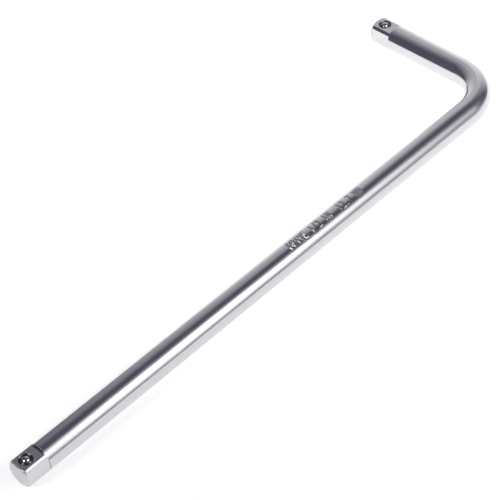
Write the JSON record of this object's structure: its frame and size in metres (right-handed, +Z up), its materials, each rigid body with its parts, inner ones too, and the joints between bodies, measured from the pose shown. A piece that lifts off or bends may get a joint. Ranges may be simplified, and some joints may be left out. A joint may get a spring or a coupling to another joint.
{
  "type": "l-handle socket wrench",
  "caption": "Round satin chrome bar bent to an L, with a male square drive and a sprung ball detent at each end, for turning sockets.",
  "frame": {"origin": "middle of the outline, on the surface that the tool lies on", "axes": "+X runs along the long arm from its drive to the bend, +Y along the short arm from the bend to its drive, +Z up out of the flats that hold the balls"},
  "size_m": [0.382, 0.101, 0.016],
  "materials": {
    "satin_chrome": "satin chrome plate",
    "ball_steel": "polished hard steel",
    "spring_steel": "oiled spring wire"
  },
  "bodies": {
    "bar": {"handle_bar": "satin_chrome", "long_end_spring": "spring_steel", "short_end_spring": "spring_steel"},
    "long_end_detent": {"long_end_ball": "ball_steel"},
    "short_end_detent": {"short_end_ball": "ball_steel"}
  },
  "joints": [
    {"name": "long_end_ball_press", "type": "slide", "parent": "bar", "child": "long_end_detent", "axis": [0, 0, -1], "range_m": [0, 0.00115], "stiffness_N_per_m": 2000, "springref_m": -0.003, "deforming": ["long_end_spring"]},
    {"name": "short_end_ball_press", "type": "slide", "parent": "bar", "child": "short_end_detent", "axis": [0, 0, -1], "range_m": [0, 0.00115], "stiffness_N_per_m": 2000, "springref_m": -0.003, "deforming": ["short_end_spring"]}
  ]
}
